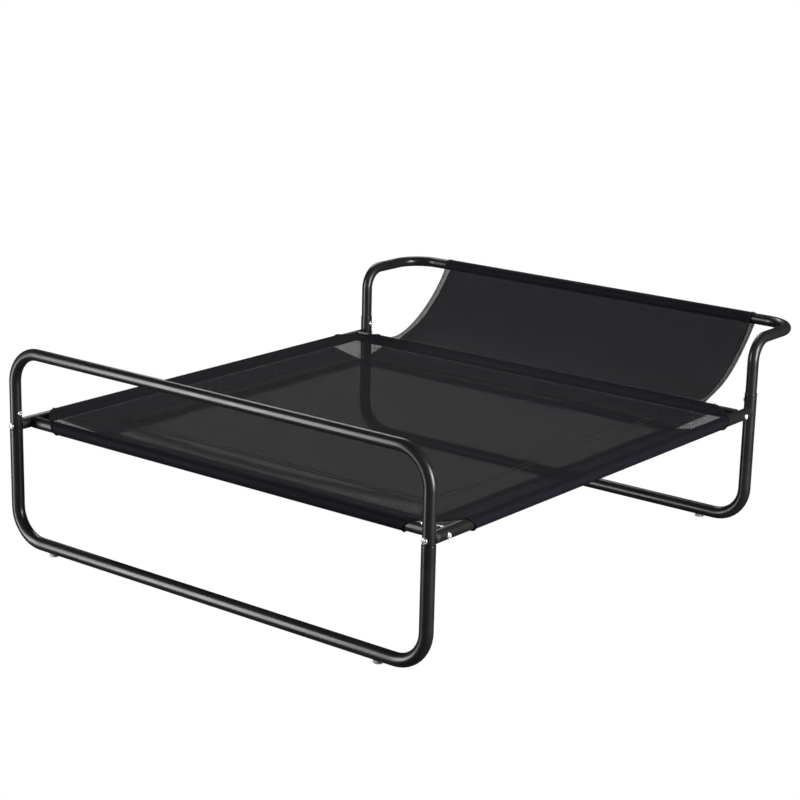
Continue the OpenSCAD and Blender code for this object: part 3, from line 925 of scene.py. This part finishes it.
def sleeve_mouth_tapes_and_shade():
    """The thick turned edge at both mouths of every sleeve: a tape round half of the rail. Its near-black
    also paints the shade inside the sleeve mouth.

    Its line is the rail's half turn, stepped back from the corner as the sleeve itself is.
    """
    turn = np.linspace(-0.12, np.pi, 30)
    out, up = around_rail(turn)
    grids = []
    for a in (-1, 1):
        for b in (-1, 1):
            x = a * (SIDE_X + out)
            y = MID_Y + b * (CROSS_Y - CORNER_CUT - mouth_slant(turn))
            line = np.stack([x, y, RAIL_Z + up], -1)
            grids.append(tape_grid(line, MOUTH_TAPE_AND_SHADE, TAPE_HALF, (0, 1, 0.01)))
            y = MID_Y + a * (CROSS_Y + out)
            x = b * (SIDE_X - CORNER_CUT - mouth_slant(turn))
            line = np.stack([x, y, RAIL_Z + up], -1)
            grids.append(tape_grid(line, MOUTH_TAPE_AND_SHADE, TAPE_HALF, (1, 0, 0.01)))
    return make_piece("sleeve_mouth_tapes_and_shade", grids, TAPE_AND_SHADE)


# ---- stitches ----

def stitch_row(line, over, half_wide=STITCH_HALF):
    """The places of the stitches along a line, a pitch apart.

    The line is read off at every pitch. Returns, for all the stitches, their middles and their
    directions along, beside and over the line, and the half width of the thread.
    """
    step = np.linalg.norm(np.diff(line, axis=0), axis=1)
    along = np.concatenate([[0], np.cumsum(step)])
    at = np.arange(STITCH_PITCH / 2, along[-1], STITCH_PITCH)
    centre = np.stack([np.interp(at, along, line[:, k]) for k in range(3)], -1)
    ahead = np.stack([np.interp(at + 0.5 * MM, along, line[:, k]) for k in range(3)], -1)
    behind = np.stack([np.interp(at - 0.5 * MM, along, line[:, k]) for k in range(3)], -1)
    way = unit(ahead - behind)
    over = np.array(over, float)
    over = np.stack([np.interp(at, along, np.broadcast_to(over, line.shape)[:, k]) for k in range(3)], -1)
    side = unit(np.cross(way, over))
    over = np.cross(side, way)
    return centre, way, side, over, half_wide


def stitch_piece(name, rows):
    """All the stitches of several rows as one mesh of pointed spindles.

    A stitch is five rings of five points: middle + share of its length along the row, lifted off the
    cloth in its middle and dipping into it at both ends.
    """
    share = np.array([-0.5, -0.36, 0.0, 0.36, 0.5])
    size = np.array([0.05, 0.8, 1.0, 0.8, 0.05])
    lift = np.array([-0.25, 0.15, 0.55, 0.15, -0.25])
    angle = np.linspace(0, 2 * np.pi, 5, endpoint=False)
    points, faces, start = [], [], 0
    quads = grid_faces(len(share), len(angle), True)
    for centre, way, side, over, half_wide in rows:
        ring = (np.cos(angle)[None, None, :, None] * side[:, None, None]
                + np.sin(angle)[None, None, :, None] * over[:, None, None])
        where = (centre[:, None, None] + way[:, None, None] * (STITCH_LENGTH * share)[None, :, None, None]
                 + over[:, None, None] * (half_wide * lift)[None, :, None, None]
                 + ring * (half_wide * size)[None, :, None, None])
        count = len(centre)
        points.append(where.reshape(-1, 3))
        each = len(share) * len(angle)
        faces.append((quads[None] + each * np.arange(count)[:, None, None]).reshape(-1, 4) + start)
        start += count * each
    points, faces = np.concatenate(points), np.concatenate(faces)
    mesh = bpy.data.meshes.new(name)
    mesh.from_pydata(points.tolist(), [], faces.tolist())
    flat = mesh.uv_layers.new(name="UVMap")
    corner = points[faces.ravel()][:, :2]
    flat.data.foreach_set("uv", corner.astype(np.float32).ravel())
    mesh.polygons.foreach_set("use_smooth", np.ones(len(faces), bool))
    mesh.materials.append(THREAD)
    piece = bpy.data.objects.new(name, mesh)
    bpy.context.scene.collection.objects.link(piece)
    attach(piece, BODY)
    return piece


def seat_stitches():
    """Two rows of stitches round the stitched rectangle of the seat, and one along each flap hem."""
    rows = []
    for inset in (STITCH_INSET - ROW_GAP / 2, STITCH_INSET + ROW_GAP / 2):
        wide, deep = SIDE_X - inset, CROSS_Y - inset
        corners = np.array([(-wide, -deep), (wide, -deep), (wide, deep), (-wide, deep), (-wide, -deep)])
        for a, b in zip(corners[:-1], corners[1:]):
            flat = mix(a, b, np.linspace(0, 1, 120)[:, None])
            z = seat_height(flat[:, 0], flat[:, 1]) + 0.3 * MM
            line = np.stack([flat[:, 0], MID_Y + flat[:, 1], z], -1)
            rows.append(stitch_row(line, (0, 0, 1)))
    z = RAIL_Z - FLAP_DROP + 3 * MM
    from_edge = HEM - 3 * MM
    for side in (-1, 1):
        x = side * (SIDE_X - FLAP_INSET + from_edge)
        half = SIDE_ENDS[1] + 4 * MM
        rows.append(stitch_row(np.array([(x, MID_Y - half, z), (x, MID_Y + half, z)]), (0, 0, 1)))
        y = MID_Y + side * (CROSS_Y - FLAP_INSET + from_edge)
        half = END_ENDS[1] + 4 * MM
        rows.append(stitch_row(np.array([(-half, y, z), (half, y, z)]), (0, 0, 1)))
    return stitch_piece("seat_stitches", rows)


def panel_stitches():
    """One row of stitches along each side hem of the panel, on both layers."""
    front, over, rear = panel_section()
    whole = np.concatenate([front, over[1:], rear[1:]])
    way = line_heading(whole)
    normal = np.stack([-way[:, 1], way[:, 0]], -1)
    lifted = whole + 0.3 * MM * normal
    rows = []
    for side in (-1, 1):
        x = np.full(len(whole), side * (PANEL_HALF - 4.5 * MM))
        line = np.stack([x, lifted[:, 0], lifted[:, 1]], -1)
        up = np.stack([np.zeros(len(whole)), normal[:, 0], normal[:, 1]], -1)
        rows.append(stitch_row(line, up, PANEL_STITCH_HALF))
    return stitch_piece("panel_stitches", rows)


# ---- surroundings ----

AIR_LIGHT = 0.05
FLOOR_LIT = (0.10, 0.10, 0.10)
# name, bearing and rise in degrees, distance, width and height in metres, power in watts
LIGHTS = [
    ("front_left_light", -125, 4, 3.2, 0.9, 2.2, 95),
    ("right_light", 2, 12, 3.2, 0.9, 1.8, 170),
    ("rear_left_light", 137, 36, 3.2, 1.6, 0.8, 24),
]


def camera_only(name, seen, lit):
    """A white surface to the camera and a plain matt one to everything else."""
    material, tree, shader = new_material(name)
    shader.inputs["Base Color"].default_value = (*lit, 1)
    shader.inputs["Roughness"].default_value = 0.9
    glow = add_node(tree, "ShaderNodeEmission", in_Color=(*seen, 1), in_Strength=1.0)
    path = tree.nodes.new("ShaderNodeLightPath")
    choose = tree.nodes.new("ShaderNodeMixShader")
    tree.links.new(path.outputs["Is Camera Ray"], choose.inputs[0])
    tree.links.new(shader.outputs[0], choose.inputs[1])
    tree.links.new(glow.outputs[0], choose.inputs[2])
    tree.links.new(choose.outputs[0], tree.nodes["Material Output"].inputs["Surface"])
    return material


def pale_floor():
    """A plain pale floor, wide enough to fill the view, that the bed stands on."""
    reach = 12.0
    corner = np.linspace(-reach, reach, 3)
    y, x = np.meshgrid(corner, corner, indexing="ij")
    mesh = bpy.data.meshes.new("floor")
    points = np.stack([x, y, np.zeros_like(x)], -1).reshape(-1, 3)
    mesh.from_pydata(points.tolist(), [], grid_faces(3, 3).tolist())
    mesh.materials.append(camera_only("pale_floor", (1, 1, 1), FLOOR_LIT))
    floor = bpy.data.objects.new("floor", mesh)
    bpy.context.scene.collection.objects.link(floor)
    floor.visible_diffuse = False
    floor.visible_glossy = False
    floor.visible_shadow = False


def studio_air():
    """White behind the object for the camera and a dim even grey for the light it gives."""
    world = bpy.data.worlds.new("studio")
    world.use_nodes = True
    tree = world.node_tree
    seen = tree.nodes["Background"]
    seen.inputs["Color"].default_value = (1, 1, 1, 1)
    seen.inputs["Strength"].default_value = 1.0
    dim = add_node(tree, "ShaderNodeBackground", in_Color=(1, 1, 1, 1), in_Strength=AIR_LIGHT)
    path = tree.nodes.new("ShaderNodeLightPath")
    choose = tree.nodes.new("ShaderNodeMixShader")
    tree.links.new(path.outputs["Is Camera Ray"], choose.inputs[0])
    tree.links.new(dim.outputs[0], choose.inputs[1])
    tree.links.new(seen.outputs[0], choose.inputs[2])
    tree.links.new(choose.outputs[0], tree.nodes["World Output"].inputs["Surface"])
    bpy.context.scene.world = world


def soft_light(name, bearing, rise, distance, width, height, power):
    """A rectangular soft light facing the bed, placed by bearing from +X, rise and distance."""
    lamp = bpy.data.lights.new(name, "AREA")
    lamp.shape = "RECTANGLE"
    lamp.size, lamp.size_y = width, height
    lamp.energy = power
    light = bpy.data.objects.new(name, lamp)
    bearing, rise = radians(bearing), radians(rise)
    way = Vector((np.cos(bearing) * np.cos(rise), np.sin(bearing) * np.cos(rise), np.sin(rise)))
    target = Vector((0, 0, 0.2))
    light.rotation_euler = way.to_track_quat("Z", "Y").to_euler()
    light.location = target + way * distance
    light.visible_camera = False
    bpy.context.scene.collection.objects.link(light)


def studio():
    """Floor, air and the soft lights that draw the long highlights on the tubes."""
    pale_floor()
    studio_air()
    for light in LIGHTS:
        soft_light(*light)
    bpy.context.scene.view_settings.view_transform = "Standard"


def camera():
    """A long lens at the three-quarter front, set by its turn, its tilt down and a slight roll."""
    lens = bpy.data.cameras.new("camera")
    lens.lens = 92.48
    lens.sensor_width = 36
    lens.shift_x = 0.0187
    lens.shift_y = -0.0007
    view = bpy.data.objects.new("camera", lens)
    turn = Matrix.Rotation(radians(38.46), 4, "Z")
    tilt = Matrix.Rotation(radians(90 - 15.13), 4, "X")
    roll = Matrix.Rotation(radians(1.24), 4, "Z")
    view.matrix_world = Matrix.Translation((2.1229, -2.7704, 1.1739)) @ turn @ tilt @ roll
    bpy.context.scene.collection.objects.link(view)
    bpy.context.scene.camera = view


def covers():
    """All the cloth pieces, their edges and stitches."""
    cover = seat_cover()
    flaps = seat_flaps()
    hems = flap_hems()
    tapes = corner_tapes_and_shade()
    mouths = sleeve_mouth_tapes_and_shade()
    stitches = seat_stitches()
    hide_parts("seat_top")
    under = under_sheet()
    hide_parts("seat_bottom")
    panel = back_panel()
    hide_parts("back_panel")
    panel_hems = panel_side_hems()
    panel_rows = panel_stitches()


camera()
studio()
frame_tubes()
screws()
carried_over()
covers()
